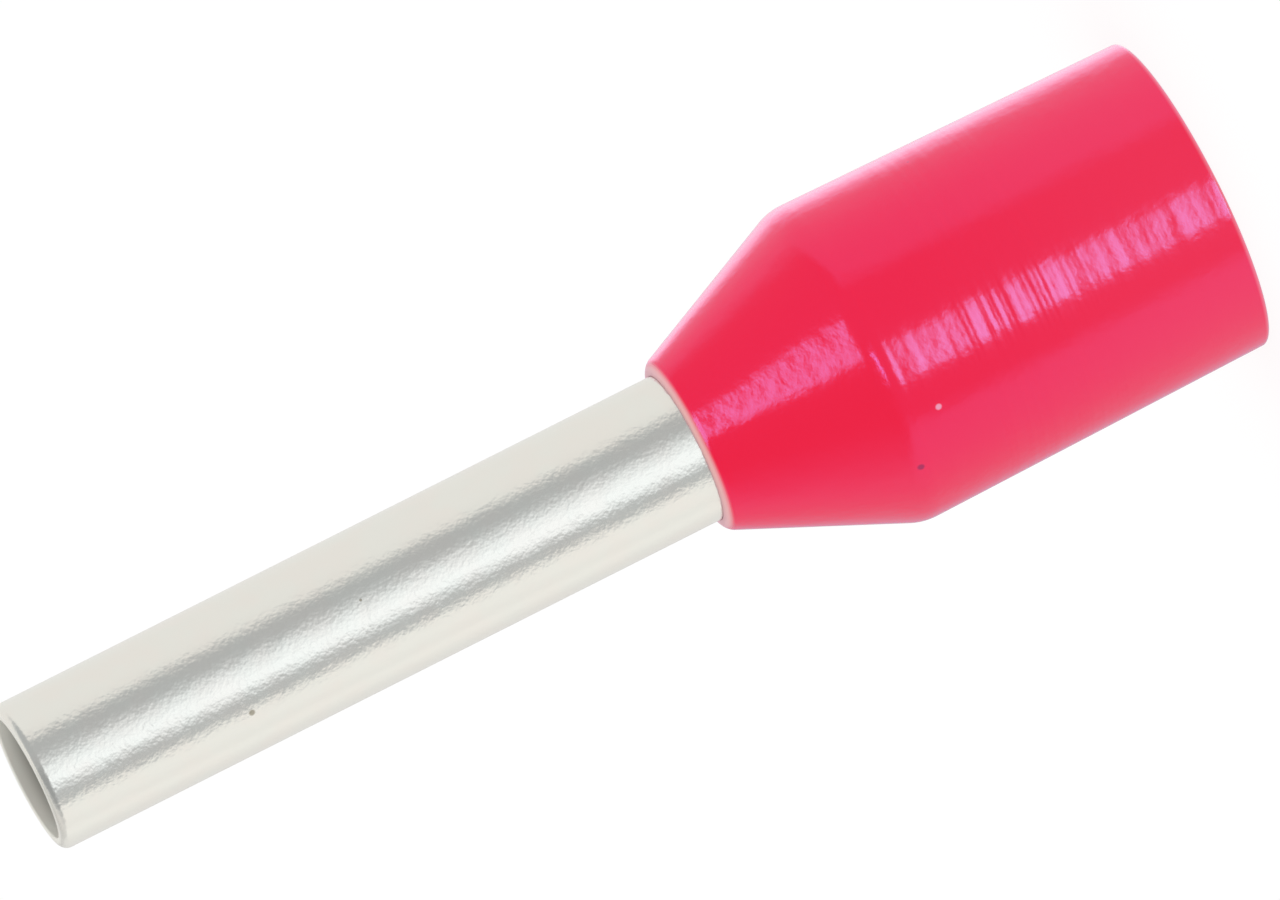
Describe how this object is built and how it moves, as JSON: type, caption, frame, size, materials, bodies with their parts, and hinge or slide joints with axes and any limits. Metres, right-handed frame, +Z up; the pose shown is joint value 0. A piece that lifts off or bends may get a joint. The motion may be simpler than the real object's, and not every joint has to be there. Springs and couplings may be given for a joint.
{
  "type": "wire ferrule",
  "caption": "Insulated wire ferrule: a thin tinned metal sleeve, flared inside, pressed into a moulded red plastic collar that takes the end of an insulated stranded wire.",
  "frame": {"origin": "centre of the collar's mouth, on the surface that the ferrule stands on", "axes": "+Z runs up the common axis of collar and sleeve, from the collar's mouth to the sleeve's tip; X and Y are any two directions across it, since the part is round"},
  "size_m": [0.0036, 0.0036, 0.014],
  "materials": {
    "tinned_metal": "satin tin plating with a fine sparkle",
    "red_plastic": "glossy moulded polypropylene with faint turning marks from its mould"
  },
  "bodies": {
    "root": {"sleeve": "tinned_metal", "collar": "red_plastic"}
  },
  "joints": []
}
